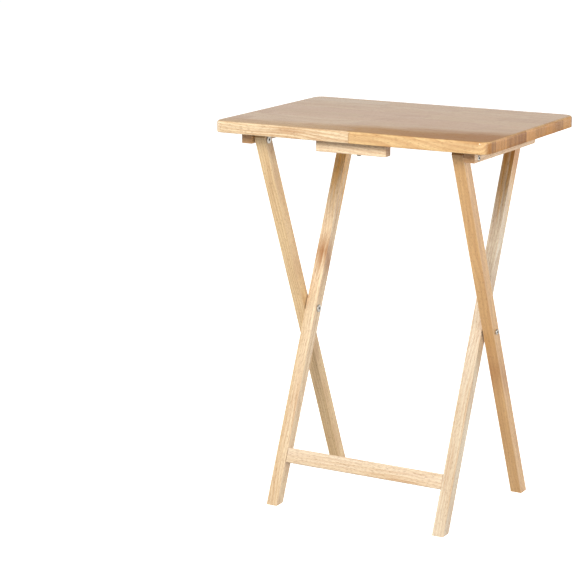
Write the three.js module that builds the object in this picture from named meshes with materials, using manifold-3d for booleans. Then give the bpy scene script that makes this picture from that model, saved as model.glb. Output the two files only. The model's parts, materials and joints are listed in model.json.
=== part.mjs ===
// Folding tray table: a solid wood top on two pairs of crossed legs.
// Millimetres, +Z up, +X along the long side, -Y is the front.
// The origin is on the floor, under the middle of the tabletop.
//
// The outer legs are bolted to two cleats under the top, near its front edge.
// The inner legs cross them at the cross bolts, and two rails join them into a frame.
// When the table is open, the rounded ends of the inner legs carry the rear of the top.

import * as THREE from 'three';
import { mergeVertices } from 'three/addons/utils/BufferGeometryUtils.js';
import { RoundedBoxGeometry } from 'three/addons/geometries/RoundedBoxGeometry.js';
import Module from 'manifold-3d';

const wasm = await Module();
wasm.setup();

// ---------------------------------------------------------------- driving dimensions

const TABLE_LENGTH = 483;
const TABLE_WIDTH = 350;
const TABLE_HEIGHT = 648;
const TOP_THICKNESS = 19;
const CORNER_RADIUS = 18;
const TOP_EDGE_ROUND = 4;
const LOWER_EDGE_ROUND = 1.2;

const LEG_SIZE = 19.5;
const LEG_EDGE = 0.9;
const LEAN = THREE.MathUtils.degToRad(23.1);
const CROSS_Y = 3;
const CROSS_Z = 311;
const HINGE_Z = 616;
const INNER_LEG_X = 153.7;
const OUTER_LEG_X = 175.4;

const CLEAT_X = 197;
const CLEAT_WIDTH = 19;
const CLEAT_HEIGHT = 19.4;
const CLEAT_FRONT = -143;
const CLEAT_REAR = 93;
const CLEAT_REAR_ROUND = 5;
const CLEAT_SCREW_FROM_FRONT = 42;
const CLEAT_SCREW_FROM_REAR = 39;

const BLOCK_LENGTH = 124;
const BLOCK_DEPTH = 17;
const BLOCK_HEIGHT = 19.5;
const FRONT_BLOCK_FRONT = -157;
const BLOCK_SCREW_X = 11;

const RAIL_HEIGHT = 25;
const RAIL_THICKNESS = 12;
const RAIL_EDGE = 1.2;
const STRETCHER_BELOW_CROSS = 254.5;
const CROSSBAR_PAST_HINGE = 3;

const GAP = 0.3;

// ---------------------------------------------------------------- hardware sizes

const BOLT_RADIUS = 2.5;
const BOLT_HEAD_RADIUS = 4.4;
const BOLT_HEAD_HEIGHT = 2.4;
const COUNTERBORE_RADIUS = 5;
const COUNTERBORE_DEPTH = 2.4;
const SLEEVE_RADIUS = 3.5;
const SLEEVE_LENGTH = 13;
const NUT_FLANGE_RADIUS = 6.5;
const NUT_FLANGE_THICKNESS = 1.3;
const NUT_WEB = 1;
const BOLT_END_IN_NUT = 3;
const WASHER_RADIUS = 7;

const SCREW_RADIUS = 2;
const SCREW_TIP = 4;
const SCREW_RECESS_WIDTH = 0.9;
const SCREW_RECESS_DEPTH = 1.3;
const FLAT_HEAD_RADIUS = 3.8;
const FLAT_HEAD_HEIGHT = 2.2;
const FLAT_HEAD_SINK = 1.6;
const ROUND_HEAD_RADIUS = 4;
const ROUND_HEAD_HEIGHT = 2.8;
const SCREW_BITE = 11;

const DOWEL_RADIUS = 3;
const DOWEL_LENGTH = 24;
const DOWEL_SPACING = 12.5;

// ---------------------------------------------------------------- derived places

const UNDERSIDE = TABLE_HEIGHT - TOP_THICKNESS;
const PIVOT_SPAN = (HINGE_Z - CROSS_Z) / Math.cos(LEAN);
const HINGE_Y = CROSS_Y - PIVOT_SPAN * Math.sin(LEAN);
const LEG_END_RADIUS = UNDERSIDE - HINGE_Z - 0.4;
const LEG_HALF = LEG_SIZE / 2;
const CROSS_WASHER = OUTER_LEG_X - INNER_LEG_X - LEG_SIZE - 2 * GAP;
const HINGE_WASHER = CLEAT_X - CLEAT_WIDTH / 2 - OUTER_LEG_X - LEG_HALF - 2 * GAP;
const CROSSBAR_Y = LEG_HALF - RAIL_THICKNESS / 2;
const CROSSBAR_TOP = PIVOT_SPAN + CROSSBAR_PAST_HINGE;
const REAR_BLOCK_FRONT =
  CROSS_Y + LEG_HALF * Math.cos(LEAN) + CROSSBAR_TOP * Math.sin(LEAN) + GAP;

// ---------------------------------------------------------------- materials

function wood(color) {
  return new THREE.MeshStandardMaterial({ color, roughness: 0.42, metalness: 0 });
}

const topWood = wood('#d6b488');
const legWood = wood('#e2c094');
const railWood = wood('#ead0a6');
const cleatWood = wood('#e6c49a');
const dowelWood = wood('#d9bd92');
const boltSteel = new THREE.MeshStandardMaterial({
  color: '#8d8678', roughness: 0.32, metalness: 1,
});
const screwSteel = new THREE.MeshStandardMaterial({
  color: '#5e564b', roughness: 0.4, metalness: 1,
});

// ---------------------------------------------------------------- solids

function toSolid(geometry) {
  const bare = geometry.clone();
  bare.deleteAttribute('normal');
  bare.deleteAttribute('uv');
  const merged = mergeVertices(bare, 1e-4);
  const index = merged.index.array;
  const triangles = [];
  for (let i = 0; i < index.length; i += 3) {
    const [a, b, c] = [index[i], index[i + 1], index[i + 2]];
    if (a !== b && b !== c && c !== a) triangles.push(a, b, c);
  }
  return new wasm.Manifold(new wasm.Mesh({
    numProp: 3,
    vertProperties: new Float32Array(merged.attributes.position.array),
    triVerts: new Uint32Array(triangles),
  }));
}

function toGeometry(solid) {
  const mesh = solid.getMesh();
  const geometry = new THREE.BufferGeometry();
  geometry.setAttribute('position', new THREE.BufferAttribute(mesh.vertProperties, 3));
  geometry.setIndex(new THREE.BufferAttribute(mesh.triVerts, 1));
  return geometry;
}

function cut(geometry, tools) {
  let solid = toSolid(geometry);
  for (const tool of tools) solid = solid.subtract(toSolid(tool));
  return toGeometry(solid);
}

// A shape drawn in (Y, Z), given a thickness along X and softened edges.
function plank(outline, thickness, edge) {
  const geometry = new THREE.ExtrudeGeometry(outline, {
    depth: thickness - 2 * edge,
    bevelThickness: edge,
    bevelSize: edge,
    bevelOffset: -edge,
    bevelSegments: 1,
    curveSegments: 8,
  });
  geometry.translate(0, 0, edge - thickness / 2);
  const drawnInYZ = new THREE.Matrix4().makeBasis(
    new THREE.Vector3(0, 1, 0),
    new THREE.Vector3(0, 0, 1),
    new THREE.Vector3(1, 0, 0),
  );
  return geometry.applyMatrix4(drawnInYZ);
}

function holeAlongX(radius, fromX, toX, y, z) {
  const hole = new THREE.CylinderGeometry(radius, radius, Math.abs(toX - fromX), 16);
  hole.rotateZ(Math.PI / 2);
  return hole.translate((fromX + toX) / 2, y, z);
}

function holeAlongZ(radius, x, y, fromZ, toZ) {
  const hole = new THREE.CylinderGeometry(radius, radius, toZ - fromZ, 12);
  hole.rotateX(Math.PI / 2);
  return hole.translate(x, y, (fromZ + toZ) / 2);
}

// A turned piece whose profile is a list of [radius, place along +X].
function turnedAlongX(profile, segments) {
  const points = profile.map(([radius, along]) => new THREE.Vector2(radius, along));
  return new THREE.LatheGeometry(points, segments).rotateZ(-Math.PI / 2);
}

// A turned piece whose profile is a list of [radius, height].
function turnedAlongZ(profile, segments) {
  const points = profile.map(([radius, height]) => new THREE.Vector2(radius, height));
  return new THREE.LatheGeometry(points, segments).rotateX(Math.PI / 2);
}

function hexAlongX(radius, fromX, toX) {
  const socket = new THREE.CylinderGeometry(radius, radius, toX - fromX, 6);
  socket.rotateZ(Math.PI / 2);
  return socket.translate((fromX + toX) / 2, 0, 0);
}

function place(parent, name, geometry, material, position = [0, 0, 0]) {
  const mesh = new THREE.Mesh(geometry, material);
  mesh.name = name;
  mesh.position.set(...position);
  parent.add(mesh);
  return mesh;
}

const SIDES = [
  { word: 'left', sign: -1 },
  { word: 'right', sign: 1 },
];

// ---------------------------------------------------------------- tabletop

function slab(round, low, high) {
  const [x, y, r] = [TABLE_LENGTH / 2, TABLE_WIDTH / 2, CORNER_RADIUS];
  const outline = new THREE.Shape();
  outline.absarc(x - r, y - r, r, 0, Math.PI / 2);
  outline.absarc(r - x, y - r, r, Math.PI / 2, Math.PI);
  outline.absarc(r - x, r - y, r, Math.PI, 1.5 * Math.PI);
  outline.absarc(x - r, r - y, r, 1.5 * Math.PI, 2 * Math.PI);
  const geometry = new THREE.ExtrudeGeometry(outline, {
    depth: high - low - 2 * round,
    bevelThickness: round,
    bevelSize: round,
    bevelOffset: -round,
    bevelSegments: 3,
    curveSegments: 6,
  });
  return geometry.translate(0, 0, low + round);
}

function tabletop(pilotHoles) {
  const rounded = toSolid(slab(TOP_EDGE_ROUND, UNDERSIDE - TOP_THICKNESS, TABLE_HEIGHT));
  const lower = toSolid(slab(LOWER_EDGE_ROUND, UNDERSIDE, TABLE_HEIGHT + TOP_THICKNESS));
  return cut(toGeometry(rounded.intersect(lower)), pilotHoles);
}

// ---------------------------------------------------------------- screws

function crossRecess(depth) {
  const arm = 2.2 * SCREW_RADIUS;
  const one = new THREE.BoxGeometry(arm, SCREW_RECESS_WIDTH, 2 * depth);
  const other = new THREE.BoxGeometry(SCREW_RECESS_WIDTH, arm, 2 * depth);
  return [one, other];
}

// Screws stand on their heads: the head's outer face is at height 0, the tip points up.
function flatHeadScrew(length) {
  return cut(turnedAlongZ([
    [0, 0],
    [FLAT_HEAD_RADIUS, 0],
    [FLAT_HEAD_RADIUS, 0.4],
    [SCREW_RADIUS, FLAT_HEAD_HEIGHT],
    [SCREW_RADIUS, length - SCREW_TIP],
    [0, length],
  ], 12), crossRecess(SCREW_RECESS_DEPTH));
}

function roundHeadScrew(length) {
  const profile = [];
  for (let step = 0; step <= 4; step += 1) {
    const angle = (step / 4) * Math.PI / 2;
    const height = ROUND_HEAD_HEIGHT * (1 - Math.cos(angle));
    profile.push([ROUND_HEAD_RADIUS * Math.sin(angle), height]);
  }
  profile.push([SCREW_RADIUS, ROUND_HEAD_HEIGHT]);
  profile.push([SCREW_RADIUS, ROUND_HEAD_HEIGHT + length - SCREW_TIP]);
  profile.push([0, ROUND_HEAD_HEIGHT + length]);
  return cut(turnedAlongZ(profile, 12), crossRecess(SCREW_RECESS_DEPTH));
}

// ---------------------------------------------------------------- bolts, nuts, washers

// The head's seat is at x = 0 and the shank runs towards -X.
function bolt(length) {
  return cut(turnedAlongX([
    [0, -length],
    [BOLT_RADIUS - 0.4, -length],
    [BOLT_RADIUS, -length + 0.6],
    [BOLT_RADIUS, 0],
    [BOLT_HEAD_RADIUS, 0],
    [BOLT_HEAD_RADIUS, 0.4 * BOLT_HEAD_HEIGHT],
    [0.75 * BOLT_HEAD_RADIUS, 0.8 * BOLT_HEAD_HEIGHT],
    [0.45 * BOLT_HEAD_RADIUS, BOLT_HEAD_HEIGHT],
    [0, BOLT_HEAD_HEIGHT],
  ], 16), [hexAlongX(1.7, BOLT_HEAD_HEIGHT - 1.4, BOLT_HEAD_HEIGHT + 1)]);
}

// The flange's seat is at x = 0, its face looks towards -X and its sleeve runs towards +X.
function barrelNut() {
  return cut(turnedAlongX([
    [0, -NUT_FLANGE_THICKNESS],
    [0.75 * NUT_FLANGE_RADIUS, -NUT_FLANGE_THICKNESS],
    [NUT_FLANGE_RADIUS, -0.4 * NUT_FLANGE_THICKNESS],
    [NUT_FLANGE_RADIUS, 0],
    [SLEEVE_RADIUS, 0],
    [SLEEVE_RADIUS, SLEEVE_LENGTH],
    [BOLT_RADIUS + GAP, SLEEVE_LENGTH],
    [BOLT_RADIUS + GAP, NUT_WEB],
    [0, NUT_WEB],
  ], 16), [hexAlongX(2.2, -NUT_FLANGE_THICKNESS - 1, -NUT_FLANGE_THICKNESS + 0.9)]);
}

function washer(thickness) {
  const bore = BOLT_RADIUS + GAP;
  return turnedAlongX([
    [bore, 0],
    [WASHER_RADIUS, 0],
    [WASHER_RADIUS, thickness],
    [bore, thickness],
    [bore, 0],
  ], 16);
}

// Bolt, washer and nut on one pivot. seat is where the bolt head rests,
// washerAt where the washer starts and nutAt the face that the nut's flange rests on.
function pivotHardware(parent, label, side, y, z, seat, washerAt, thickness, nutAt) {
  const facing = new THREE.Group();
  facing.position.set(0, y, z);
  facing.rotation.z = side.sign > 0 ? 0 : Math.PI;
  parent.add(facing);
  const head = seat + GAP;
  const flange = nutAt - GAP;
  const length = head - flange - BOLT_END_IN_NUT;
  place(facing, `${label}_bolt_${side.word}`, bolt(length), boltSteel, [head, 0, 0]);
  place(facing, `${label}_washer_${side.word}`, washer(thickness), screwSteel,
    [washerAt + GAP, 0, 0]);
  place(facing, `${label}_nut_${side.word}`, barrelNut(), boltSteel, [flange, 0, 0]);
}

// ---------------------------------------------------------------- legs

// One leg in its own frame: the cross bolt is at the origin and the leg runs along Z.
// The top is turned about the upper pivot, and the foot is cut level with the floor.
function legOutline(turn) {
  const shoulder = Math.acos(LEG_HALF / LEG_END_RADIUS);
  const footAt = (y) => -(CROSS_Z + y * Math.sin(turn)) / Math.cos(turn);
  const outline = new THREE.Shape();
  outline.moveTo(-LEG_HALF, footAt(-LEG_HALF));
  outline.lineTo(LEG_HALF, footAt(LEG_HALF));
  outline.absarc(0, PIVOT_SPAN, LEG_END_RADIUS, shoulder, Math.PI - shoulder);
  outline.closePath();
  return outline;
}

// Holes for a bolt that comes in from the outer side, or for a sleeve from the inner side.
function boltHole(z) {
  return holeAlongX(BOLT_RADIUS + GAP, -LEG_SIZE, LEG_SIZE, 0, z);
}

function sleeveHole(side, z) {
  const inner = -side.sign * LEG_HALF;
  const depth = SLEEVE_LENGTH + GAP;
  return holeAlongX(SLEEVE_RADIUS + GAP, inner - side.sign, inner + side.sign * depth, 0, z);
}

function dowelHeights(centre) {
  return [centre - DOWEL_SPACING / 2, centre + DOWEL_SPACING / 2];
}

function dowelHole(fromX, toX, y, z) {
  return holeAlongX(DOWEL_RADIUS + GAP, fromX, toX, y, z);
}

const RAILS = [
  {
    name: 'lower_stretcher',
    y: -LEG_HALF + RAIL_THICKNESS / 2,
    z: -STRETCHER_BELOW_CROSS,
  },
  {
    name: 'upper_crossbar',
    y: CROSSBAR_Y,
    z: CROSSBAR_TOP - RAIL_HEIGHT / 2,
  },
];

function outerLegs() {
  const group = new THREE.Group();
  group.position.set(0, CROSS_Y, CROSS_Z);
  group.rotation.x = LEAN;
  for (const side of SIDES) {
    const leg = cut(plank(legOutline(LEAN), LEG_SIZE, LEG_EDGE), [
      boltHole(0),
      boltHole(PIVOT_SPAN),
      sleeveHole(side, PIVOT_SPAN),
    ]);
    place(group, `outer_leg_${side.word}`, leg, legWood, [side.sign * OUTER_LEG_X, 0, 0]);
    pivotHardware(group, 'cross', side, 0, 0, OUTER_LEG_X + LEG_HALF,
      INNER_LEG_X + LEG_HALF, CROSS_WASHER, INNER_LEG_X - LEG_HALF);
  }
  return group;
}

function dowel() {
  const half = DOWEL_LENGTH / 2;
  return turnedAlongX([
    [0, -half],
    [DOWEL_RADIUS - 0.6, -half],
    [DOWEL_RADIUS, -half + 1],
    [DOWEL_RADIUS, half - 1],
    [DOWEL_RADIUS - 0.6, half],
    [0, half],
  ], 12);
}

function innerFrame() {
  const group = new THREE.Group();
  group.position.set(0, CROSS_Y, CROSS_Z);
  group.rotation.x = -LEAN;
  const inside = INNER_LEG_X - LEG_HALF;
  const reach = DOWEL_LENGTH / 2 + GAP;
  for (const side of SIDES) {
    const holes = [boltHole(0), sleeveHole(side, 0)];
    const inner = -side.sign * LEG_HALF;
    for (const rail of RAILS) {
      for (const z of dowelHeights(rail.z)) {
        holes.push(dowelHole(inner - side.sign, inner + side.sign * reach, rail.y, z));
      }
    }
    const leg = cut(plank(legOutline(-LEAN), LEG_SIZE, LEG_EDGE), holes);
    place(group, `inner_leg_${side.word}`, leg, legWood, [side.sign * INNER_LEG_X, 0, 0]);
  }
  for (const rail of RAILS) {
    const length = 2 * (inside - GAP);
    const bar = new RoundedBoxGeometry(length, RAIL_THICKNESS, RAIL_HEIGHT, 1, RAIL_EDGE);
    const holes = [];
    for (const side of SIDES) {
      for (const z of dowelHeights(0)) {
        const from = side.sign * (length / 2 + 1);
        const to = side.sign * (length / 2 - reach);
        holes.push(dowelHole(from, to, 0, z));
      }
    }
    place(group, rail.name, cut(bar, holes), railWood, [0, rail.y, rail.z]);
    for (const side of SIDES) {
      const [low, high] = dowelHeights(rail.z);
      const x = side.sign * (inside - GAP / 2);
      place(group, `${rail.name}_dowel_${side.word}_low`, dowel(), dowelWood, [x, rail.y, low]);
      place(group, `${rail.name}_dowel_${side.word}_high`, dowel(), dowelWood, [x, rail.y, high]);
    }
  }
  return group;
}

// ---------------------------------------------------------------- cleats and blocks

function cleatOutline() {
  const [front, rear] = [CLEAT_FRONT, CLEAT_REAR];
  const [low, high] = [UNDERSIDE - GAP - CLEAT_HEIGHT, UNDERSIDE - GAP];
  const outline = new THREE.Shape();
  outline.moveTo(front, low);
  outline.lineTo(rear - CLEAT_REAR_ROUND, low);
  outline.absarc(rear - CLEAT_REAR_ROUND, low + CLEAT_REAR_ROUND, CLEAT_REAR_ROUND,
    -Math.PI / 2, 0);
  outline.lineTo(rear, high);
  outline.lineTo(front, high);
  outline.closePath();
  return outline;
}

const CLEAT_SCREWS = [
  { word: 'front', y: CLEAT_FRONT + CLEAT_SCREW_FROM_FRONT },
  { word: 'rear', y: CLEAT_REAR - CLEAT_SCREW_FROM_REAR },
];

const BLOCKS = [
  { name: 'front_block', front: FRONT_BLOCK_FRONT },
  { name: 'rear_block', front: REAR_BLOCK_FRONT },
];

function topAssembly() {
  const group = new THREE.Group();
  const pilotHoles = [];
  const pilotRadius = SCREW_RADIUS + GAP;
  const screwTop = UNDERSIDE + SCREW_BITE;

  const cleatBottom = UNDERSIDE - GAP - CLEAT_HEIGHT;
  const headAt = cleatBottom + FLAT_HEAD_SINK;
  for (const side of SIDES) {
    const x = side.sign * CLEAT_X;
    const outer = side.sign * CLEAT_WIDTH / 2;
    const holes = [
      holeAlongX(BOLT_RADIUS + GAP, -CLEAT_WIDTH, CLEAT_WIDTH, HINGE_Y, HINGE_Z),
      holeAlongX(COUNTERBORE_RADIUS, outer + side.sign, outer - side.sign * COUNTERBORE_DEPTH,
        HINGE_Y, HINGE_Z),
    ];
    for (const screw of CLEAT_SCREWS) {
      const clearTop = headAt + FLAT_HEAD_HEIGHT + GAP;
      holes.push(holeAlongZ(pilotRadius, 0, screw.y, cleatBottom - 1, UNDERSIDE + 1));
      holes.push(holeAlongZ(FLAT_HEAD_RADIUS + GAP, 0, screw.y, cleatBottom - 1, clearTop));
      pilotHoles.push(holeAlongZ(pilotRadius, x, screw.y, UNDERSIDE - 1, screwTop + GAP));
      place(group, `cleat_screw_${side.word}_${screw.word}`,
        flatHeadScrew(screwTop - headAt), screwSteel, [x, screw.y, headAt]);
    }
    const cleat = cut(plank(cleatOutline(), CLEAT_WIDTH, LEG_EDGE), holes);
    place(group, `cleat_${side.word}`, cleat, cleatWood, [x, 0, 0]);
  }

  const blockCentre = UNDERSIDE - GAP - BLOCK_HEIGHT / 2;
  const blockBottom = UNDERSIDE - GAP - BLOCK_HEIGHT;
  for (const block of BLOCKS) {
    const y = block.front + BLOCK_DEPTH / 2;
    const hole = holeAlongZ(pilotRadius, BLOCK_SCREW_X, 0, -BLOCK_HEIGHT, BLOCK_HEIGHT);
    pilotHoles.push(
      holeAlongZ(pilotRadius, BLOCK_SCREW_X, y, UNDERSIDE - 1, screwTop + GAP));
    place(group, `${block.name}_screw`,
      roundHeadScrew(screwTop - blockBottom + GAP), screwSteel,
      [BLOCK_SCREW_X, y, blockBottom - ROUND_HEAD_HEIGHT - GAP]);
    const body = new RoundedBoxGeometry(BLOCK_LENGTH, BLOCK_DEPTH, BLOCK_HEIGHT, 1, RAIL_EDGE);
    place(group, block.name, cut(body, [hole]), cleatWood, [0, y, blockCentre]);
  }

  place(group, 'tabletop', tabletop(pilotHoles), topWood);
  return group;
}

function hingePins() {
  const group = new THREE.Group();
  for (const side of SIDES) {
    pivotHardware(group, 'hinge', side, HINGE_Y, HINGE_Z,
      CLEAT_X + CLEAT_WIDTH / 2 - COUNTERBORE_DEPTH,
      OUTER_LEG_X + LEG_HALF, HINGE_WASHER, OUTER_LEG_X - LEG_HALF);
  }
  return group;
}

// ---------------------------------------------------------------- the table

const table = new THREE.Group();
table.add(topAssembly());
table.add(outerLegs());
table.add(innerFrame());
table.add(hingePins());

export default table;
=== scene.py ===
import json
import math

import bmesh
import bpy
from mathutils import Matrix, Vector


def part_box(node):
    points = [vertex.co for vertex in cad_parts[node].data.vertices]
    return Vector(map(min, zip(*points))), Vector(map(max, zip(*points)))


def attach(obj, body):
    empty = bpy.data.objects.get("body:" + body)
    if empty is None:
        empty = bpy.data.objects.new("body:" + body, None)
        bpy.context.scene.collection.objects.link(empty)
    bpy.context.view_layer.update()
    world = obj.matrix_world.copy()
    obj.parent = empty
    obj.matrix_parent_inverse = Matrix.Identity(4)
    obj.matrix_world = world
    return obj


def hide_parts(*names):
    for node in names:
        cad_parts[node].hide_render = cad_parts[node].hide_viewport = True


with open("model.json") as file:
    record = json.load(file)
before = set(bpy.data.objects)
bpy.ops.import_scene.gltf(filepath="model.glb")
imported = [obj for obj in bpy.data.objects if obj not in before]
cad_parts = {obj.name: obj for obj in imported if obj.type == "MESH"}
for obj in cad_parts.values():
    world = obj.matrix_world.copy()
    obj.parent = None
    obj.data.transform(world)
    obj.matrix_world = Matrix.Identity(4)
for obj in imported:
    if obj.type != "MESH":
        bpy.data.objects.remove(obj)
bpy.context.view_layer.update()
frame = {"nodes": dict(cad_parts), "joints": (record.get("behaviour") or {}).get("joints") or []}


# ---------------------------------------------------------------- inner legs
# Two straight sticks of rubberwood, planed square, with their long edges sanded round and
# the whole lacquered. The upper end is rounded about the upper pivot and the foot is sawn
# level with the floor. Both are bored for the cross bolt's nut and for the rails' dowels.

leg_side = 0.0195
leg_end_radius = 0.0126
leg_end_facets = 16
eased_edge = 0.0011
bolt_hole = 0.0028
sleeve_hole = 0.0038
sleeve_depth = 0.0133
dowel_hole = 0.0033
dowel_depth = 0.0123
drill_overrun = 0.001
hair = 0.0001
soft_angle = math.radians(40)

joint_at = {joint["name"]: Vector(joint["pos_m"]) for joint in frame["joints"]}
cross = joint_at["leg_fold"]
hinge = joint_at["top_rise"]
pivot_span = (hinge - cross).length
lean = math.atan2(cross.y - hinge.y, hinge.z - cross.z)


def centre(node):
    """The middle of a drawn part."""
    low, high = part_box(node)
    return (low + high) / 2


def bench():
    """Leave edit mode with nothing selected."""
    if bpy.context.mode != "OBJECT":
        bpy.ops.object.mode_set(mode="OBJECT")
    bpy.ops.object.select_all(action="DESELECT")


def take_up(piece):
    """Select one piece alone and make it the active one."""
    bench()
    piece.select_set(True)
    bpy.context.view_layer.objects.active = piece


def settle(piece, place=(0, 0, 0), turn=(0, 0, 0), size=(1, 1, 1)):
    """Move a piece and write the move into its mesh."""
    take_up(piece)
    piece.location = place
    piece.rotation_euler = turn
    piece.scale = size
    bpy.ops.object.transform_apply(location=True, rotation=True, scale=True)


def blank(name, size, place=(0, 0, 0)):
    """A squared blank of wood, open in edit mode."""
    bench()
    bpy.ops.mesh.primitive_cube_add(size=1)
    piece = bpy.context.object
    piece.name = name
    settle(piece, place, size=size)
    bpy.ops.object.mode_set(mode="EDIT")
    return piece


def saw(plane_at, facing):
    """Cut off what lies beyond a plane and close the cut."""
    bpy.ops.mesh.select_all(action="SELECT")
    bpy.ops.mesh.bisect(
        plane_co=plane_at, plane_no=facing, use_fill=True, clear_outer=True)


def choose(piece, kind, wanted):
    """Select the faces or edges that pass a test on their middle and direction."""
    bpy.ops.mesh.select_mode(type=kind)
    bpy.ops.mesh.select_all(action="DESELECT")
    mesh = bmesh.from_edit_mesh(piece.data)
    for part in list(mesh.faces if kind == "FACE" else mesh.edges):
        corners = [vertex.co for vertex in part.verts]
        middle = sum(corners, Vector()) / len(corners)
        if kind == "FACE":
            direction = part.normal
        else:
            direction = (corners[1] - corners[0]).normalized()
        if wanted(middle, direction):
            part.select_set(True)
    mesh.select_flush_mode()
    bmesh.update_edit_mesh(piece.data)


def work(piece, kind, **settings):
    """Give a piece one modifier and apply it."""
    take_up(piece)
    modifier = piece.modifiers.new(kind.lower(), kind)
    for name, value in settings.items():
        setattr(modifier, name, value)
    bpy.ops.object.modifier_apply(modifier=modifier.name)


def ease(piece, radius, segments=3):
    """Round every sharp edge of a piece."""
    work(piece, "BEVEL", width=radius, segments=segments, limit_method="ANGLE",
         angle_limit=soft_angle)


def take_away(piece, tool):
    """Cut a tool's shape out of a piece."""
    work(piece, "BOOLEAN", object=tool, operation="DIFFERENCE", solver="EXACT")
    bpy.data.objects.remove(tool)


def bore(piece, radius, begin, end, sides=32):
    """Drill a piece from one point to another."""
    begin, end = Vector(begin), Vector(end)
    bench()
    bpy.ops.mesh.primitive_cylinder_add(
        vertices=sides, radius=radius, depth=(end - begin).length,
        location=(begin + end) / 2,
        rotation=(end - begin).to_track_quat("Z", "Y").to_euler())
    take_away(piece, bpy.context.object)


def smooth(piece):
    """Shade the rounded edges smoothly and keep the wide faces flat."""
    take_up(piece)
    bpy.ops.object.shade_smooth_by_angle(angle=soft_angle)
    work(piece, "WEIGHTED_NORMAL", keep_sharp=True, weight=100)


def left_hand(piece, name):
    """The left-hand copy of a right-hand piece, with its own mesh."""
    take_up(piece)
    bpy.ops.object.duplicate()
    twin = bpy.context.object
    twin.name = name
    settle(twin, size=(-1, 1, 1))
    bpy.ops.object.mode_set(mode="EDIT")
    bpy.ops.mesh.select_all(action="SELECT")
    bpy.ops.mesh.normals_make_consistent(inside=False)
    bench()
    return twin


def leg_stick(name, turn):
    """One leg, upright, with its cross bolt at the origin."""
    half_length = pivot_span + leg_end_radius
    leg = blank(name, (leg_side, leg_side, 2 * half_length))
    floor_below = Vector((0, -math.sin(turn), -math.cos(turn)))
    saw(cross.z * floor_below, floor_below)
    shoulder = math.acos(leg_side / 2 / leg_end_radius)
    for facet in range(leg_end_facets + 1):
        angle = shoulder + (math.pi - 2 * shoulder) * facet / leg_end_facets
        outward = Vector((0, math.cos(angle), math.sin(angle)))
        saw(Vector((0, 0, pivot_span)) + leg_end_radius * outward, outward)
    bench()
    ease(leg, eased_edge)
    return leg


def bolt_passage(leg, height):
    """The clearance hole of a bolt, right through a leg."""
    bore(leg, bolt_hole, (-leg_side, 0, height), (leg_side, 0, height))


def sleeve_passage(leg, height):
    """The wider hole of a nut's sleeve, from the inner face."""
    inner = -leg_side / 2
    bore(leg, sleeve_hole, (inner - drill_overrun, 0, height),
         (inner + sleeve_depth, 0, height))


class Wire:
    """A value, colour or vector running through a finish; sums on it add Math nodes."""

    def __init__(self, tree, socket=None):
        self.tree = tree
        self.socket = socket

    def node(self, kind, settings=None, values=None, output=0):
        """Add any node: its settings first, then the values or wires of its sockets."""
        made = self.tree.nodes.new(kind)
        for name, setting in (settings or {}).items():
            if name == "stops":
                while len(made.color_ramp.elements) < len(setting):
                    made.color_ramp.elements.new(1.0)
                for element, (position, colour) in zip(made.color_ramp.elements, setting):
                    element.position = position
                    element.color = colour
            else:
                setattr(made, name, setting)
        for name, value in (values or {}).items():
            if isinstance(value, Wire):
                self.tree.links.new(value.socket, made.inputs[name])
            else:
                made.inputs[name].default_value = value
        return Wire(self.tree, made.outputs[output])

    def axes(self):
        """The three parts of a vector."""
        split = self.node("ShaderNodeSeparateXYZ", {}, {0: self})
        return [Wire(self.tree, socket) for socket in split.socket.node.outputs]

    def math(self, operation, *others):
        """One Math node, with this wire as its first value."""
        terms = dict(enumerate((self, *others)))
        return self.node("ShaderNodeMath", {"operation": operation}, terms)

    def held(self):
        """Kept between 0 and 1."""
        return self.node("ShaderNodeClamp", {}, {0: self})

    def beyond(self, threshold, steepness):
        """0 up to a threshold, then rising to 1 at this steepness."""
        return ((self - threshold) * steepness).held()

    def part(self):
        """What is left over a whole number."""
        return self.math("FRACT")

    def __add__(self, other):
        return self.math("ADD", other)

    __radd__ = __add__

    def __sub__(self, other):
        return self.math("SUBTRACT", other)

    def __rsub__(self, other):
        return self.node("ShaderNodeMath", {"operation": "SUBTRACT"}, {0: other, 1: self})

    def __mul__(self, other):
        return self.math("MULTIPLY", other)

    __rmul__ = __mul__

    def __truediv__(self, other):
        return self.math("DIVIDE", other)

    def __pow__(self, other):
        return self.math("POWER", other)

    def __abs__(self):
        return self.math("ABSOLUTE")


def mix(under, over, share):
    """One colour laid over another."""
    return share.node("ShaderNodeMix", {"data_type": "RGBA"},
                      {0: share, 6: under, 7: over}, output=2)


def vector(x, y, z):
    """Three values as one vector; the first is a wire."""
    return x.node("ShaderNodeCombineXYZ", {}, {0: x, 1: y, 2: z})


def shifted(place, by):
    """A vector moved by another."""
    return place.node("ShaderNodeVectorMath", {"operation": "ADD"}, {0: place, 1: by})


def clouds(place, size, detail=2.0):
    """Soft random variation, 0 to 1, in patches of this size."""
    stretched = place.node(
        "ShaderNodeVectorMath", {"operation": "DIVIDE"}, {0: place, 1: size})
    return place.node("ShaderNodeTexNoise", {},
                      {"Vector": stretched, "Scale": 1.0, "Detail": detail})


def finish(name):
    """A new finish: its material and a first wire to build on."""
    material = bpy.data.materials.new(name)
    material.use_nodes = True
    return material, Wire(material.node_tree)


def millimetres(wire, origin, turn):
    """Places on a piece in millimetres from an origin, turned so that X is its length."""
    place = wire.node("ShaderNodeTexCoord", output=3)
    return wire.node("ShaderNodeMapping", {"vector_type": "TEXTURE"}, {
        "Vector": place, "Location": origin, "Rotation": turn, "Scale": (0.001,) * 3})


def facing(wire, axis):
    """How squarely the surface faces along an axis, 0 to 1."""
    normal = wire.node("ShaderNodeTexCoord", output=1)
    dot = wire.node("ShaderNodeVectorMath", {"operation": "DOT_PRODUCT"},
                    {0: normal, 1: axis}, output=1)
    return abs(dot)


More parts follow.
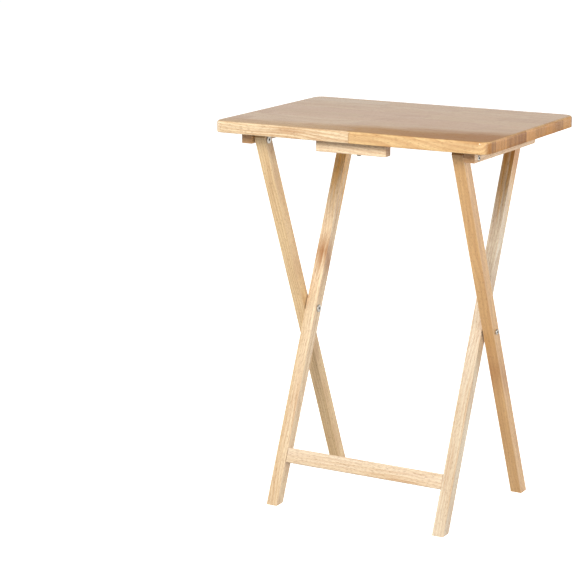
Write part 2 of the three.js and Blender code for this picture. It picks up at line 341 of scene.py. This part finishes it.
def figure(grain, chance, pith_across, pith_deep, drift):
    """Rubberwood's rings, pores and streaks, each 0 to 1. The rings lie round a pith that
    drifts across the length, and chance is grain moved to another part of the log."""
    ring_pitch_mm = 5.2
    fine_radians_per_mm = 4.3
    along, across, deep = grain.axes()
    sway = clouds(chance, (190, 60, 60), 1.0) - 0.5
    wave = clouds(chance, (34, 7, 7), 3.0) - 0.5
    off_across = across - pith_across - along * drift
    off_deep = deep - pith_deep
    radius = (off_across * off_across + off_deep * off_deep) ** 0.5
    age = radius + sway * 34 + wave * 2.6
    band = (age / ring_pitch_mm).part()
    late = band * band * band * (1 - band) * 9.5
    fine = (age * fine_radians_per_mm).math("SINE") * 0.5 + 0.5
    strength = clouds(chance, (120, 22, 22), 1.0)
    rings = late * (strength * 1.5 - 0.1).held() + fine * 0.22
    pores = clouds(chance, (6.5, 0.42, 0.42), 1.0).beyond(0.57, 9)
    streaks = clouds(chance, (130, 4.5, 4.5), 3.0).beyond(0.52, 4)
    return rings, pores, streaks


ring_brown = (0.46, 0.22, 0.085, 1)
pore_brown = (0.27, 0.115, 0.042, 1)
streak_brown = (0.44, 0.20, 0.075, 1)
end_brown = (0.36, 0.155, 0.05, 1)
heart_brown = (0.36, 0.145, 0.035, 1)
# The golden and red patch colours are heartwood partly painted with warm light bounced from the
# top's underside into the shade at the inner legs' upper ends.
heart_and_bounce_gold = (0.82, 0.45, 0.12, 1)
heart_and_bounce_red = (0.52, 0.225, 0.05, 1)
rubbed_pale = (0.80, 0.58, 0.34, 1)
rubbed_mm = 1.5


def raised(height, depth, strength):
    """A bump of this depth in metres, as a normal."""
    return height.node("ShaderNodeBump", {}, {
        "Height": height, "Distance": depth, "Strength": strength})


def feed(material, wires):
    """Lead wires to the sockets of a finish's shader, and return the shader."""
    shader = material.node_tree.nodes["Principled BSDF"]
    for socket, wire in wires.items():
        material.node_tree.links.new(wire.socket, shader.inputs[socket])
    return shader


def lacquer(material, colour, roughness, relief):
    """A clear satin lacquer over a wood's colour."""
    shader = feed(material, {
        "Base Color": colour,
        "Roughness": roughness,
        "Normal": raised(relief, 0.00012, 0.55),
    })
    shader.inputs["Specular IOR Level"].default_value = 0.34
    shader.inputs["Coat Weight"].default_value = 0.16
    shader.inputs["Coat Roughness"].default_value = 0.22
    return shader


def stick_wood(name, origin, turn, half, light, dark, pith, seed, heartwood_and_bounce=()):
    """The finish of one straight stick. Half is half its width and depth in millimetres,
    and the patches in the last argument are darker: heartwood, and at the inner legs' upper ends
    also painted warm light bounced from the top into the shade there; each gives where along it,
    half how long, how strong, what colour."""
    material, wire = finish(name)
    grain = millimetres(wire, origin, turn)
    along, across, deep = grain.axes()
    chance = shifted(grain, (170.0 * seed, 60.0 * seed, 90.0 * seed))
    rings, pores, streaks = figure(grain, chance, *pith)
    tone = clouds(chance, (260, 14, 14), 2.0)
    colour = mix(light, dark, tone.beyond(0.32, 2.4))
    colour = mix(colour, ring_brown, rings * 0.44)
    colour = mix(colour, streak_brown, streaks * 0.5)
    ragged = clouds(chance, (85, 3.2, 3.2), 3.0)
    # Darker patches of heartwood; those at the inner legs' tops also carry painted warm bounce
    # light in the shade under the top.
    for middle, half_length, strength, brown in heartwood_and_bounce:
        off = abs(along - middle + across * 1.4) / half_length
        patch = (2.15 - off - ragged * 2.5).held()
        colour = mix(colour, brown, patch * strength)
    colour = mix(colour, pore_brown, pores * 0.68)
    end_grain = facing(wire, turn.to_matrix() @ Vector((1, 0, 0))).beyond(0.7, 4)
    colour = mix(colour, end_brown, end_grain * 0.5)
    corner = (abs(across) + abs(deep) - (sum(half) - rubbed_mm)) / rubbed_mm
    colour = mix(colour, rubbed_pale, corner.held() * 0.35)
    handled = clouds(chance, (40, 18, 18), 2.0)
    roughness = 0.34 + handled * 0.16 + pores * 0.2 + end_grain * 0.15
    relief = 0.5 - pores * 0.5 - rings * 0.14 + clouds(chance, (18, 2, 2), 2.0) * 0.2
    lacquer(material, colour, roughness, relief)
    return material


def lengthwise(tilt):
    """The turn that lays a finish's X along an upright stick leaning by tilt about X."""
    return (Matrix.Rotation(tilt, 3, "X") @ Matrix.Rotation(-math.pi / 2, 3, "Y")).to_euler()


def stand_in(piece, node, body, material):
    """Give a piece its finish, and its place on a body instead of the drawn part."""
    piece.data.materials.clear()
    piece.data.materials.append(material)
    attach(piece, body)
    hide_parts(node)


half_leg_mm = (9.75, 9.75)
inner_right_light = (0.79, 0.71, 0.56, 1)
inner_right_dark = (0.64, 0.52, 0.35, 1)
inner_left_light = (0.83, 0.69, 0.48, 1)
inner_left_dark = (0.66, 0.49, 0.29, 1)

inner_right = leg_stick("inner_leg_stick_right", -lean)
bolt_passage(inner_right, 0)
sleeve_passage(inner_right, 0)
leg_frame = Matrix.Rotation(-lean, 4, "X").inverted() @ Matrix.Translation(-cross)
for rail in ("lower_stretcher", "upper_crossbar"):
    for level in ("low", "high"):
        dowel = leg_frame @ centre(f"{rail}_dowel_right_{level}")
        inner = -leg_side / 2
        bore(inner_right, dowel_hole, (inner - drill_overrun, dowel.y, dowel.z),
             (inner + dowel_depth, dowel.y, dowel.z))
settle(inner_right, (centre("inner_leg_right").x, cross.y, cross.z), (-lean, 0, 0))
inner_left = left_hand(inner_right, "inner_leg_stick_left")

# The upper patches on the inner legs are heartwood and painted warm bounce light in the shade
# under the top.
inner_leg_pieces = {
    "right": (inner_right, (6.0, -44.0, 0.012), 1.0, inner_right_light, inner_right_dark,
              ((268.0, 100.0, 0.8, heart_and_bounce_gold), (292.0, 56.0, 1.0, heart_and_bounce_red))),
    "left": (inner_left, (-14.0, 38.0, -0.02), 2.3, inner_left_light, inner_left_dark,
             ((84.0, 38.0, 0.85, heart_brown), (255.0, 92.0, 1.0, heart_and_bounce_gold))),
}
for side, (leg, pith, seed, light, dark, heartwood_and_bounce) in inner_leg_pieces.items():
    smooth(leg)
    at = centre(f"inner_leg_{side}")
    material = stick_wood(
        f"inner_leg_lacquer_{side}", (at.x, cross.y, cross.z), lengthwise(-lean),
        half_leg_mm, light, dark, pith, seed, heartwood_and_bounce)
    stand_in(leg, f"inner_leg_{side}", "inner_legs", material)


# ---------------------------------------------------------------- stretcher and crossbar
# Two flat rails of the same wood hold the inner legs apart: one near the floor, flush with
# the legs' front faces, and one near the tops. Each is glued on two dowels at either end.

rail_thickness = 0.012
rail_height = 0.025
rail_edge = 0.0013
rail_bore_depth = 0.0123
half_rail_mm = (6.0, 12.5)
half_dowel_mm = (3.0, 3.0)
rail_light = (0.81, 0.69, 0.52, 1)
rail_dark = (0.70, 0.55, 0.36, 1)
dowel_light = (0.74, 0.52, 0.29, 1)

rail_finishes = {
    "lower_stretcher": ((5.0, -52.0, 0.02), 3.7),
    "upper_crossbar": ((-16.0, 40.0, -0.015), 5.1),
}
for rail, (pith, seed) in rail_finishes.items():
    low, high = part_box(rail)
    length = high.x - low.x
    bar = blank(f"{rail}_bar", (length, rail_thickness, rail_height))
    bench()
    ease(bar, rail_edge)
    at = centre(rail)
    bar_frame = Matrix.Rotation(-lean, 4, "X").inverted() @ Matrix.Translation(-at)
    for side, sign in (("left", -1), ("right", 1)):
        for level in ("low", "high"):
            dowel = bar_frame @ centre(f"{rail}_dowel_{side}_{level}")
            end = sign * length / 2
            bore(bar, dowel_hole, (end + sign * drill_overrun, dowel.y, dowel.z),
                 (end - sign * rail_bore_depth, dowel.y, dowel.z))
    settle(bar, at, (-lean, 0, 0))
    smooth(bar)
    material = stick_wood(
        f"{rail}_lacquer", at, Matrix.Rotation(-lean, 3, "X").to_euler(),
        half_rail_mm, rail_light, rail_dark, pith, seed)
    stand_in(bar, rail, "inner_legs", material)
    for side, sign in (("left", -1), ("right", 1)):
        for level in ("low", "high"):
            node = f"{rail}_dowel_{side}_{level}"
            peg = frame["nodes"][node]
            peg.material_slots[0].material = stick_wood(
                f"{node}_birch", centre(node), Matrix.Identity(3).to_euler(),
                half_dowel_mm, dowel_light, rail_dark, (0.0, -30.0, 0.0), seed + sign)


# ---------------------------------------------------------------- outer legs
# Two more sticks like the inner ones, outside them and leaning the other way. Their upper
# ends hang on the hinge bolts under the front of the top, and their feet stand at the back.

outer_left_light = (0.86, 0.65, 0.365, 1)
outer_left_dark = (0.74, 0.50, 0.24, 1)
outer_right_light = (0.72, 0.455, 0.20, 1)
outer_right_dark = (0.565, 0.32, 0.12, 1)

outer_right = leg_stick("outer_leg_stick_right", lean)
bolt_passage(outer_right, 0)
bolt_passage(outer_right, pivot_span)
sleeve_passage(outer_right, pivot_span)
settle(outer_right, (centre("outer_leg_right").x, cross.y, cross.z), (lean, 0, 0))
outer_left = left_hand(outer_right, "outer_leg_stick_left")

outer_leg_pieces = {
    "right": (outer_right, (12.0, -36.0, 0.02), 7.4, outer_right_light, outer_right_dark,
              ((-88.0, 56.0, 0.6, heart_brown),)),
    "left": (outer_left, (-8.0, 46.0, -0.014), 9.2, outer_left_light, outer_left_dark, ()),
}
for side, (leg, pith, seed, light, dark, heartwood_and_bounce) in outer_leg_pieces.items():
    smooth(leg)
    at = centre(f"outer_leg_{side}")
    material = stick_wood(
        f"outer_leg_lacquer_{side}", (at.x, cross.y, cross.z), lengthwise(lean),
        half_leg_mm, light, dark, pith, seed, heartwood_and_bounce)
    stand_in(leg, f"outer_leg_{side}", "outer_legs", material)


# ---------------------------------------------------------------- cross and hinge bolts
# Plated steel machine screws with low domed heads and hexagon sockets, screwed into barrel
# nuts with flanged faces. A steel washer keeps the two wooden parts of each pivot apart.

bolt_shank = 0.0025
bolt_head = 0.0044
bolt_head_height = 0.0024
bolt_dome = 0.0012
bolt_socket = 0.0017
bolt_socket_depth = 0.0014
bolt_point = 0.0004
nut_flange = 0.0065
nut_flange_thickness = 0.0013
nut_rim = 0.0006
nut_socket = 0.0022
nut_socket_depth = 0.0009
nut_sleeve = 0.0035
nut_sleeve_length = 0.013
nut_web = 0.001
washer_radius = 0.007
washer_edge = 0.0002
plated_bright = (0.42, 0.40, 0.365, 1)
plated_dull = (0.24, 0.222, 0.195, 1)
# Painted shade for the sockets of the bolts and nuts, and how far it reaches from the axis.
socket_shade_dark = (0.045, 0.036, 0.028, 1)
socket_shade_radius_mm = 2.4


def disc(name, radius, height, sides=48):
    """A turned disc standing on its origin, open in edit mode."""
    bench()
    bpy.ops.mesh.primitive_cylinder_add(
        vertices=sides, radius=radius, depth=height, location=(0, 0, height / 2))
    piece = bpy.context.object
    piece.name = name
    bpy.ops.object.transform_apply(location=True, rotation=True, scale=True)
    bpy.ops.object.mode_set(mode="EDIT")
    return piece


def round_rim(piece, height, radius, offset, segments):
    """Round the circular edge of this radius at this height."""
    def on_rim(middle, direction):
        level = abs(direction.z) < 0.01 and abs(middle.z - height) < hair / 2
        return level and abs(math.hypot(middle.x, middle.y) - radius) < hair
    choose(piece, "EDGE", on_rim)
    bpy.ops.mesh.bevel(offset=offset, segments=segments, affect="EDGES")


def draw_out(piece, from_radius, to_radius, length):
    """Draw a narrower shank out of the disc's lower face."""
    choose(piece, "FACE", lambda middle, direction: direction.z < -0.99)
    bpy.ops.mesh.inset(thickness=from_radius - to_radius)
    bpy.ops.mesh.extrude_region_move(TRANSFORM_OT_translate={"value": (0, 0, -length)})


def machine_bolt(name, length):
    """A bolt along Z with its head's seat at the origin."""
    bolt = disc(name, bolt_head, bolt_head_height)
    round_rim(bolt, bolt_head_height, bolt_head, bolt_dome, segments=5)
    draw_out(bolt, bolt_head, bolt_shank, length)
    round_rim(bolt, -length, bolt_shank, bolt_point, segments=2)
    bench()
    bore(bolt, bolt_socket, (0, 0, bolt_head_height - bolt_socket_depth),
         (0, 0, bolt_head_height + drill_overrun), sides=6)
    return bolt


def barrel_nut(name):
    """A flanged nut along Z with its flange's seat at the origin."""
    nut = disc(name, nut_flange, nut_flange_thickness)
    round_rim(nut, nut_flange_thickness, nut_flange, nut_rim, segments=4)
    draw_out(nut, nut_flange, nut_sleeve, nut_sleeve_length)
    bench()
    bore(nut, nut_socket, (0, 0, nut_flange_thickness - nut_socket_depth),
         (0, 0, nut_flange_thickness + drill_overrun), sides=6)
    bore(nut, bolt_hole, (0, 0, -nut_sleeve_length - drill_overrun), (0, 0, -nut_web))
    return nut


def washer(name, thickness):
    """A flat washer standing on its origin."""
    ring = disc(name, washer_radius, thickness)
    bench()
    bore(ring, bolt_hole, (0, 0, -drill_overrun), (0, 0, thickness + drill_overrun))
    ease(ring, washer_edge, segments=2)
    return ring


def plated_steel(name, pivot):
    """Plated steel, dulled in patches, with painted shade darkening the sockets near the pivot's
    axis, where the steel is also rougher.
    """
    material, wire = finish(name)
    place = millimetres(wire, (0, pivot.y, pivot.z), (0, 0, 0))
    _, across, up = place.axes()
    patches = clouds(place, (1.6, 1.6, 1.6), 3.0)
    turned = clouds(place, (0.12, 3.0, 3.0), 1.0)
    colour = mix(plated_bright, plated_dull, patches.beyond(0.35, 2.2))
    off_axis = (across * across + up * up) ** 0.5
    # Painted shade: the steel darkens within a small radius of the pivot's axis, where the
    # sockets are.
    socket_shade_mask = ((socket_shade_radius_mm - off_axis) * 2.5).held()
    colour = mix(colour, socket_shade_dark, socket_shade_mask * (0.75 + patches * 0.3))
    shader = feed(material, {
        "Base Color": colour,
        "Roughness": 0.24 + patches * 0.22 + socket_shade_mask * 0.3,
        "Normal": raised(turned + patches, 0.00004, 0.4),
    })
    shader.inputs["Metallic"].default_value = 1.0
    return material


for pivot, at in (("cross", cross), ("hinge", hinge)):
    metal = plated_steel(f"{pivot}_plating", at)
    bolt_low, bolt_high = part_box(f"{pivot}_bolt_right")
    nut_low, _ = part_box(f"{pivot}_nut_right")
    washer_low, washer_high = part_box(f"{pivot}_washer_right")
    shank_length = bolt_high.x - bolt_low.x - bolt_head_height

    bolt = machine_bolt(f"{pivot}_machine_bolt_right", shank_length)
    settle(bolt, (bolt_high.x - bolt_head_height, at.y, at.z), (0, math.pi / 2, 0))
    nut = barrel_nut(f"{pivot}_barrel_nut_right")
    settle(nut, (nut_low.x + nut_flange_thickness, at.y, at.z), (0, -math.pi / 2, 0))
    ring = washer(f"{pivot}_flat_washer_right", washer_high.x - washer_low.x)
    settle(ring, (washer_low.x, at.y, at.z), (0, math.pi / 2, 0))

    for part, piece, slot in (("bolt", bolt, "bolt_steel"), ("nut", nut, "bolt_steel"),
                              ("washer", ring, "screw_steel")):
        twin = left_hand(piece, piece.name.replace("right", "left"))
        for side, one in (("right", piece), ("left", twin)):
            smooth(one)
            stand_in(one, f"{pivot}_{part}_{side}", "outer_legs", metal)


# ---------------------------------------------------------------- tabletop
# One slab glued up edge to edge from narrow rubberwood staves, each made of short lengths
# joined by cut fingers. The corners are rounded, the upper rim is rounded over and the
# lower one is only broken. It is sanded flush and lacquered on every side.

corner_radius = 0.018
upper_rim = 0.0042
lower_rim = 0.0012
stave_width_mm = 37.5
shortest_stave_mm = 190
stave_spread_mm = 170
middle_row = 21.71
finger_pitch_mm = 4.2
finger_reach_mm = 8.0
row_glue_mm = 0.3
comb_glue_mm = 1.1
pale_cream = (0.82, 0.60, 0.36, 1)
glue_brown = (0.25, 0.11, 0.045, 1)
top_face_shade_brown = (0.36, 0.165, 0.055, 1)
# Painted shade for the tabletop's upward face.
end_amber = (0.52, 0.21, 0.03, 1)
end_dark = (0.23, 0.08, 0.02, 1)
worn_brown = (0.30, 0.115, 0.03, 1)
stave_colours = (
    (0.00, (0.83, 0.68, 0.45, 1)),
    (0.22, (0.74, 0.50, 0.24, 1)),
    (0.42, (0.72, 0.45, 0.25, 1)),
    (0.62, (0.55, 0.31, 0.13, 1)),
    (0.80, (0.80, 0.58, 0.29, 1)),
    (1.00, (0.50, 0.27, 0.105, 1)),
)

top_low, top_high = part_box("tabletop")
top_size = top_high - top_low
top_centre = centre("tabletop")
slab = blank("glued_slab", top_size, top_centre)
choose(slab, "EDGE", lambda middle, direction: abs(direction.z) > 0.99)
bpy.ops.mesh.bevel(offset=corner_radius, segments=14, affect="EDGES")
choose(slab, "EDGE", lambda middle, direction: middle.z > top_high.z - hair)
bpy.ops.mesh.bevel(offset=upper_rim, segments=6, affect="EDGES")
choose(slab, "EDGE", lambda middle, direction: middle.z < top_low.z + hair)
bpy.ops.mesh.bevel(offset=lower_rim, segments=3, affect="EDGES")
bench()
smooth(slab)

slab_lacquer, wire = finish("slab_lacquer")
grain = millimetres(wire, top_centre, (0, 0, 0))
along, across, deep = grain.axes()
unevenness = (across / 24 + 1.3).math("SINE") * 0.13
row = across / stave_width_mm + unevenness + middle_row
row_number = row.math("FLOOR")
row_luck = row_number.node(
    "ShaderNodeTexWhiteNoise", {"noise_dimensions": "1D"}, {"W": row_number}, output=1)
length_luck, start_luck, _ = row_luck.axes()
stave_length = length_luck * stave_spread_mm + shortest_stave_mm
comb = abs((across / finger_pitch_mm).part() - 0.5) * 2
stave = (along + comb * finger_reach_mm) / stave_length + start_luck * 7 + 11
stave_number = stave.math("FLOOR")
luck = row_number.node(
    "ShaderNodeTexWhiteNoise", {"noise_dimensions": "2D"},
    {"Vector": vector(row_number, stave_number, 0.0)}, output=1)
hue_luck, pith_luck, drift_luck = luck.axes()
in_row = (row.part() - 0.5) * stave_width_mm
stave_grain = vector(along, in_row, deep)
elsewhere = vector(
    along + hue_luck * 1900, in_row + pith_luck * 700, deep + drift_luck * 900)
rings, pores, streaks = figure(
    stave_grain, elsewhere,
    (pith_luck - 0.5) * 74, drift_luck * -58 - 10, (hue_luck - 0.5) * 0.16)

colour = hue_luck.node("ShaderNodeValToRGB", {"stops": stave_colours}, {0: hue_luck})
tone = clouds(elsewhere, (150, 16, 16), 2.0)
colour = mix(colour, pale_cream, tone.beyond(0.5, 1.8) * 0.5)
swirl = clouds(elsewhere, (85, 24, 24), 2.0)
colour = mix(colour, heart_brown, swirl.beyond(0.58, 4.5) * 0.42)
colour = mix(colour, ring_brown, rings * 0.55)
colour = mix(colour, streak_brown, streaks * 0.5)
colour = mix(colour, pore_brown, pores * 0.7)
row_edge = (0.5 - abs(row.part() - 0.5)) * stave_width_mm
row_glue = (1 - row_edge / row_glue_mm).held()
comb_edge = (0.5 - abs(stave.part() - 0.5)) * stave_length
comb_glue = (1 - comb_edge / comb_glue_mm).held()
glue = row_glue.math("MAXIMUM", comb_glue)
colour = mix(colour, glue_brown, glue * 0.65)

face = facing(wire, (0, 0, 1)).beyond(0.8, 5)
worn = ((clouds(grain, (90, 34, 34)) * 44 - across + along * 0.14 - 116) / 46).held()
rightward = ((along + 90) / 240).held()
# Painted shade: the upward face is darkened towards brown, so it reads darker than the lit
# edges.
colour = mix(colour, top_face_shade_brown, face * 0.48)
colour = mix(colour, worn_brown, face * worn * rightward * 0.6)

end_grain = facing(wire, (1, 0, 0)).beyond(0.6, 3.5)
stripes = clouds(elsewhere, (300, 5.5, 60), 3.0) * 0.75 + drift_luck * 0.5
end_colour = mix(colour, end_amber, end_grain * 0.7)
end_colour = mix(end_colour, end_dark, stripes.beyond(0.38, 2.4))
colour = mix(colour, end_colour, end_grain * 0.8)

handled = clouds(grain, (70, 50, 50), 3.0)
roughness = 0.30 + handled * 0.14 + pores * 0.18 + end_grain * 0.15
planing = clouds(elsewhere, (22, 2.4, 2.4)) * 0.2
relief = 0.5 - pores * 0.5 - rings * 0.12 - glue * 0.25 + planing
upper_side = (deep / 6 + 1.5).held()
gloss = ((1 - worn * face) * 0.62 - end_grain * 0.45).held() * upper_side
slab_shader = lacquer(slab_lacquer, colour, roughness, relief)
feed(slab_lacquer, {"Coat Weight": gloss})
slab_shader.inputs["Specular IOR Level"].default_value = 0.05
slab_shader.inputs["Coat Roughness"].default_value = 0.15
stand_in(slab, "tabletop", "tray_top", slab_lacquer)


# ---------------------------------------------------------------- cleats
# Two square battens screwed up into the slab from below, front to back, just outside the
# legs. The hinge bolts' heads sit sunk in their outer faces. The rear lower corner is round.

cleat_edge = 0.0009
cleat_rear_round = 0.005
counterbore = 0.005
counterbore_depth = 0.0024
screw_hole = 0.0023
flat_head = 0.0038
flat_head_height = 0.0022
sink_play = 0.0003
half_cleat_mm = (9.5, 9.7)
cleat_light = (0.78, 0.55, 0.31, 1)
cleat_dark = (0.66, 0.42, 0.20, 1)

low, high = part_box("cleat_right")
cleat_right = blank("cleat_batten_right", high - low, centre("cleat_right"))
choose(cleat_right, "EDGE", lambda middle, direction:
       abs(direction.x) > 0.99 and middle.y > high.y - hair and middle.z < low.z + hair)
bpy.ops.mesh.bevel(offset=cleat_rear_round, segments=8, affect="EDGES")
bench()
ease(cleat_right, cleat_edge)
bore(cleat_right, bolt_hole, (low.x - drill_overrun, hinge.y, hinge.z),
     (high.x + drill_overrun, hinge.y, hinge.z))
bore(cleat_right, counterbore, (high.x - counterbore_depth, hinge.y, hinge.z),
     (high.x + drill_overrun, hinge.y, hinge.z), sides=48)
for place in ("front", "rear"):
    screw_low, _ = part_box(f"cleat_screw_right_{place}")
    at = centre(f"cleat_screw_right_{place}")
    below = (at.x, at.y, low.z - drill_overrun)
    bore(cleat_right, screw_hole, below, (at.x, at.y, high.z + drill_overrun))
    bore(cleat_right, flat_head + sink_play, below,
         (at.x, at.y, screw_low.z + flat_head_height + sink_play))
cleat_left = left_hand(cleat_right, "cleat_batten_left")

across_top = Matrix.Rotation(math.pi / 2, 3, "Z").to_euler()
cleat_finishes = {
    "right": (cleat_right, (4.0, -40.0, 0.03), 11.6),
    "left": (cleat_left, (-10.0, 34.0, -0.02), 13.3),
}
for side, (batten, pith, seed) in cleat_finishes.items():
    smooth(batten)
    material = stick_wood(
        f"cleat_lacquer_{side}", centre(f"cleat_{side}"), across_top,
        half_cleat_mm, cleat_light, cleat_dark, pith, seed)
    stand_in(batten, f"cleat_{side}", "tray_top", material)


# ---------------------------------------------------------------- screws of the cleats
# Countersunk wood screws of dark plated steel, with cross recesses. Two hold each cleat,
# their heads sunk a little into its lower face.

flat_head_rim = 0.0004
screw_shank = 0.002
screw_tip = 0.004
tip_share = 0.08
recess_width = 0.0009
recess_reach = 0.0044
recess_depth = 0.0013
steel_worn = (0.20, 0.175, 0.145, 1)
steel_dark = (0.075, 0.062, 0.05, 1)


def cut_recess(screw):
    """Cut the cross recess in a head whose face is at height 0."""
    for arms in ((recess_reach, recess_width), (recess_width, recess_reach)):
        bench()
        bpy.ops.mesh.primitive_cube_add(size=1)
        tool = bpy.context.object
        settle(tool, size=(*arms, 2 * recess_depth))
        take_away(screw, tool)


def draw_up(length, share):
    """Draw the selected face upwards and shrink it to a share of its width."""
    bpy.ops.mesh.extrude_region_move(TRANSFORM_OT_translate={"value": (0, 0, length)})
    bpy.ops.transform.resize(value=(share, share, 1))


def draw_shank(length):
    """Draw the shank and the tip of a screw out of its selected upper face."""
    draw_up(length - screw_tip, 1)
    draw_up(screw_tip, tip_share)
    bench()


def dark_steel(name):
    """Dark plated steel, worn bright in specks."""
    material, wire = finish(name)
    place = millimetres(wire, (0, 0, 0), (0, 0, 0))
    patches = clouds(place, (1.1, 1.1, 1.1), 3.0)
    shader = feed(material, {
        "Base Color": mix(steel_worn, steel_dark, patches.beyond(0.36, 2.6)),
        "Roughness": 0.3 + patches * 0.25,
        "Normal": raised(patches, 0.00004, 0.5),
    })
    shader.inputs["Metallic"].default_value = 1.0
    return material


def copy_to(piece, name, place):
    """A copy of a piece with its own mesh, moved to its place."""
    take_up(piece)
    bpy.ops.object.duplicate()
    twin = bpy.context.object
    twin.name = name
    settle(twin, place)
    return twin


screw_plating = dark_steel("screw_plating")
low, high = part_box("cleat_screw_right_front")
flat_screw = disc("flat_head_screw", flat_head, flat_head_rim, sides=32)
choose(flat_screw, "FACE", lambda middle, direction: direction.z > 0.99)
draw_up(flat_head_height - flat_head_rim, screw_shank / flat_head)
draw_shank(high.z - low.z - flat_head_height)
cut_recess(flat_screw)
for side in ("left", "right"):
    for place in ("front", "rear"):
        node = f"cleat_screw_{side}_{place}"
        at = centre(node)
        screw = copy_to(flat_screw, f"flat_screw_{side}_{place}",
                        (at.x, at.y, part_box(node)[0].z))
        smooth(screw)
        stand_in(screw, node, "tray_top", screw_plating)
bpy.data.objects.remove(flat_screw)


# ---------------------------------------------------------------- blocks and their screws
# Two short blocks glued under the slab, near the middle of its front and rear edges. The
# front one is a lip to hold when the table is folded, and the rear one stops the crossbar.
# Each has one dark round-head screw a little right of its middle.

block_edge = 0.0013
round_head = 0.004
round_head_height = 0.0028
round_head_rim = 0.0024
half_block_mm = (8.5, 9.75)
block_light = (0.88, 0.72, 0.50, 1)
block_dark = (0.79, 0.60, 0.38, 1)

low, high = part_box("front_block_screw")
round_screw = disc("round_head_screw", round_head, round_head_height, sides=32)
round_rim(round_screw, 0.0, round_head, round_head_rim, segments=7)
choose(round_screw, "FACE", lambda middle, direction: direction.z > 0.99)
bpy.ops.mesh.inset(thickness=round_head - screw_shank)
draw_shank(high.z - low.z - round_head_height)
cut_recess(round_screw)

block_finishes = {
    "front_block": ((3.0, -46.0, 0.02), 15.2),
    "rear_block": ((-6.0, -30.0, -0.03), 17.9),
}
for block, (pith, seed) in block_finishes.items():
    low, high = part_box(block)
    body = blank(f"{block}_wood", high - low, centre(block))
    bench()
    ease(body, block_edge)
    node = f"{block}_screw"
    at = centre(node)
    bore(body, screw_hole, (at.x, at.y, low.z - drill_overrun),
         (at.x, at.y, high.z + drill_overrun))
    screw = copy_to(round_screw, f"{block}_round_screw", (at.x, at.y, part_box(node)[0].z))
    smooth(screw)
    stand_in(screw, node, "tray_top", screw_plating)
    smooth(body)
    material = stick_wood(
        f"{block}_lacquer", centre(block), Matrix.Identity(3).to_euler(),
        half_block_mm, block_light, block_dark, pith, seed)
    stand_in(body, block, "tray_top", material)
bpy.data.objects.remove(round_screw)


# ---------------------------------------------------------------- studio
# A pale seamless floor and backdrop, one large soft light from the front, weaker ones from
# both sides and from behind, and the camera. The room itself gives a low even light.

floor_size = 60
floor_white = (0.88, 0.88, 0.88, 1)
floor_glow = 0.72
room_light = 0.34
backdrop_glow = 0.6
camera_lens = 125.79
camera_place = (1.45256, -2.89644, 1.10881)
camera_dip = math.radians(12.933)
camera_turn = math.radians(29.780)

bench()
bpy.ops.mesh.primitive_plane_add(size=floor_size)
floor = bpy.context.object
floor.name = "studio_floor"
paint, _ = finish("floor_paint")
floor_shader = paint.node_tree.nodes["Principled BSDF"]
floor_shader.inputs["Base Color"].default_value = floor_white
floor_shader.inputs["Roughness"].default_value = 0.7
floor_shader.inputs["Emission Color"].default_value = (1, 1, 1, 1)
floor_shader.inputs["Emission Strength"].default_value = floor_glow
floor.data.materials.append(paint)
floor.visible_diffuse = False

world = bpy.data.worlds.new("studio")
world.use_nodes = True
backdrop = world.node_tree.nodes["Background"]
backdrop.inputs["Color"].default_value = (1.0, 0.985, 0.955, 1)
seen = Wire(world.node_tree).node("ShaderNodeLightPath", output=0)
strength = seen * backdrop_glow + room_light
world.node_tree.links.new(strength.socket, backdrop.inputs["Strength"])
bpy.context.scene.world = world

middle = Vector((0, 0, 0.33))
soft_lights = {
    "key": ((0.55, -3.0, 2.2), 1.2, 114, (1.0, 0.99, 0.975)),
    "side": ((3.0, -0.9, 0.95), 1.4, 41, (1.0, 0.985, 0.965)),
    "left fill": ((-2.8, -0.5, 1.1), 1.8, 36, (1.0, 0.985, 0.965)),
    "rear fill": ((2.2, 3.2, 1.0), 1.8, 34, (1.0, 0.985, 0.965)),
    "back": ((-2.2, 4.4, 1.4), 3.0, 15, (1.0, 0.975, 0.93)),
}
for name, (place, size, power, tint) in soft_lights.items():
    lamp = bpy.data.lights.new(name, "AREA")
    lamp.size = size
    lamp.energy = power
    lamp.color = tint
    stand = bpy.data.objects.new(name, lamp)
    stand.location = place
    stand.visible_camera = False
    stand.rotation_euler = (middle - Vector(place)).to_track_quat("-Z", "Y").to_euler()
    bpy.context.collection.objects.link(stand)

lens = bpy.data.cameras.new("camera")
lens.lens = camera_lens
lens.sensor_width = 36
camera = bpy.data.objects.new("camera", lens)
camera.location = camera_place
camera.rotation_euler = (math.pi / 2 - camera_dip, 0, camera_turn)
bpy.context.collection.objects.link(camera)
bpy.context.scene.camera = camera
bpy.context.scene.view_settings.view_transform = "Standard"
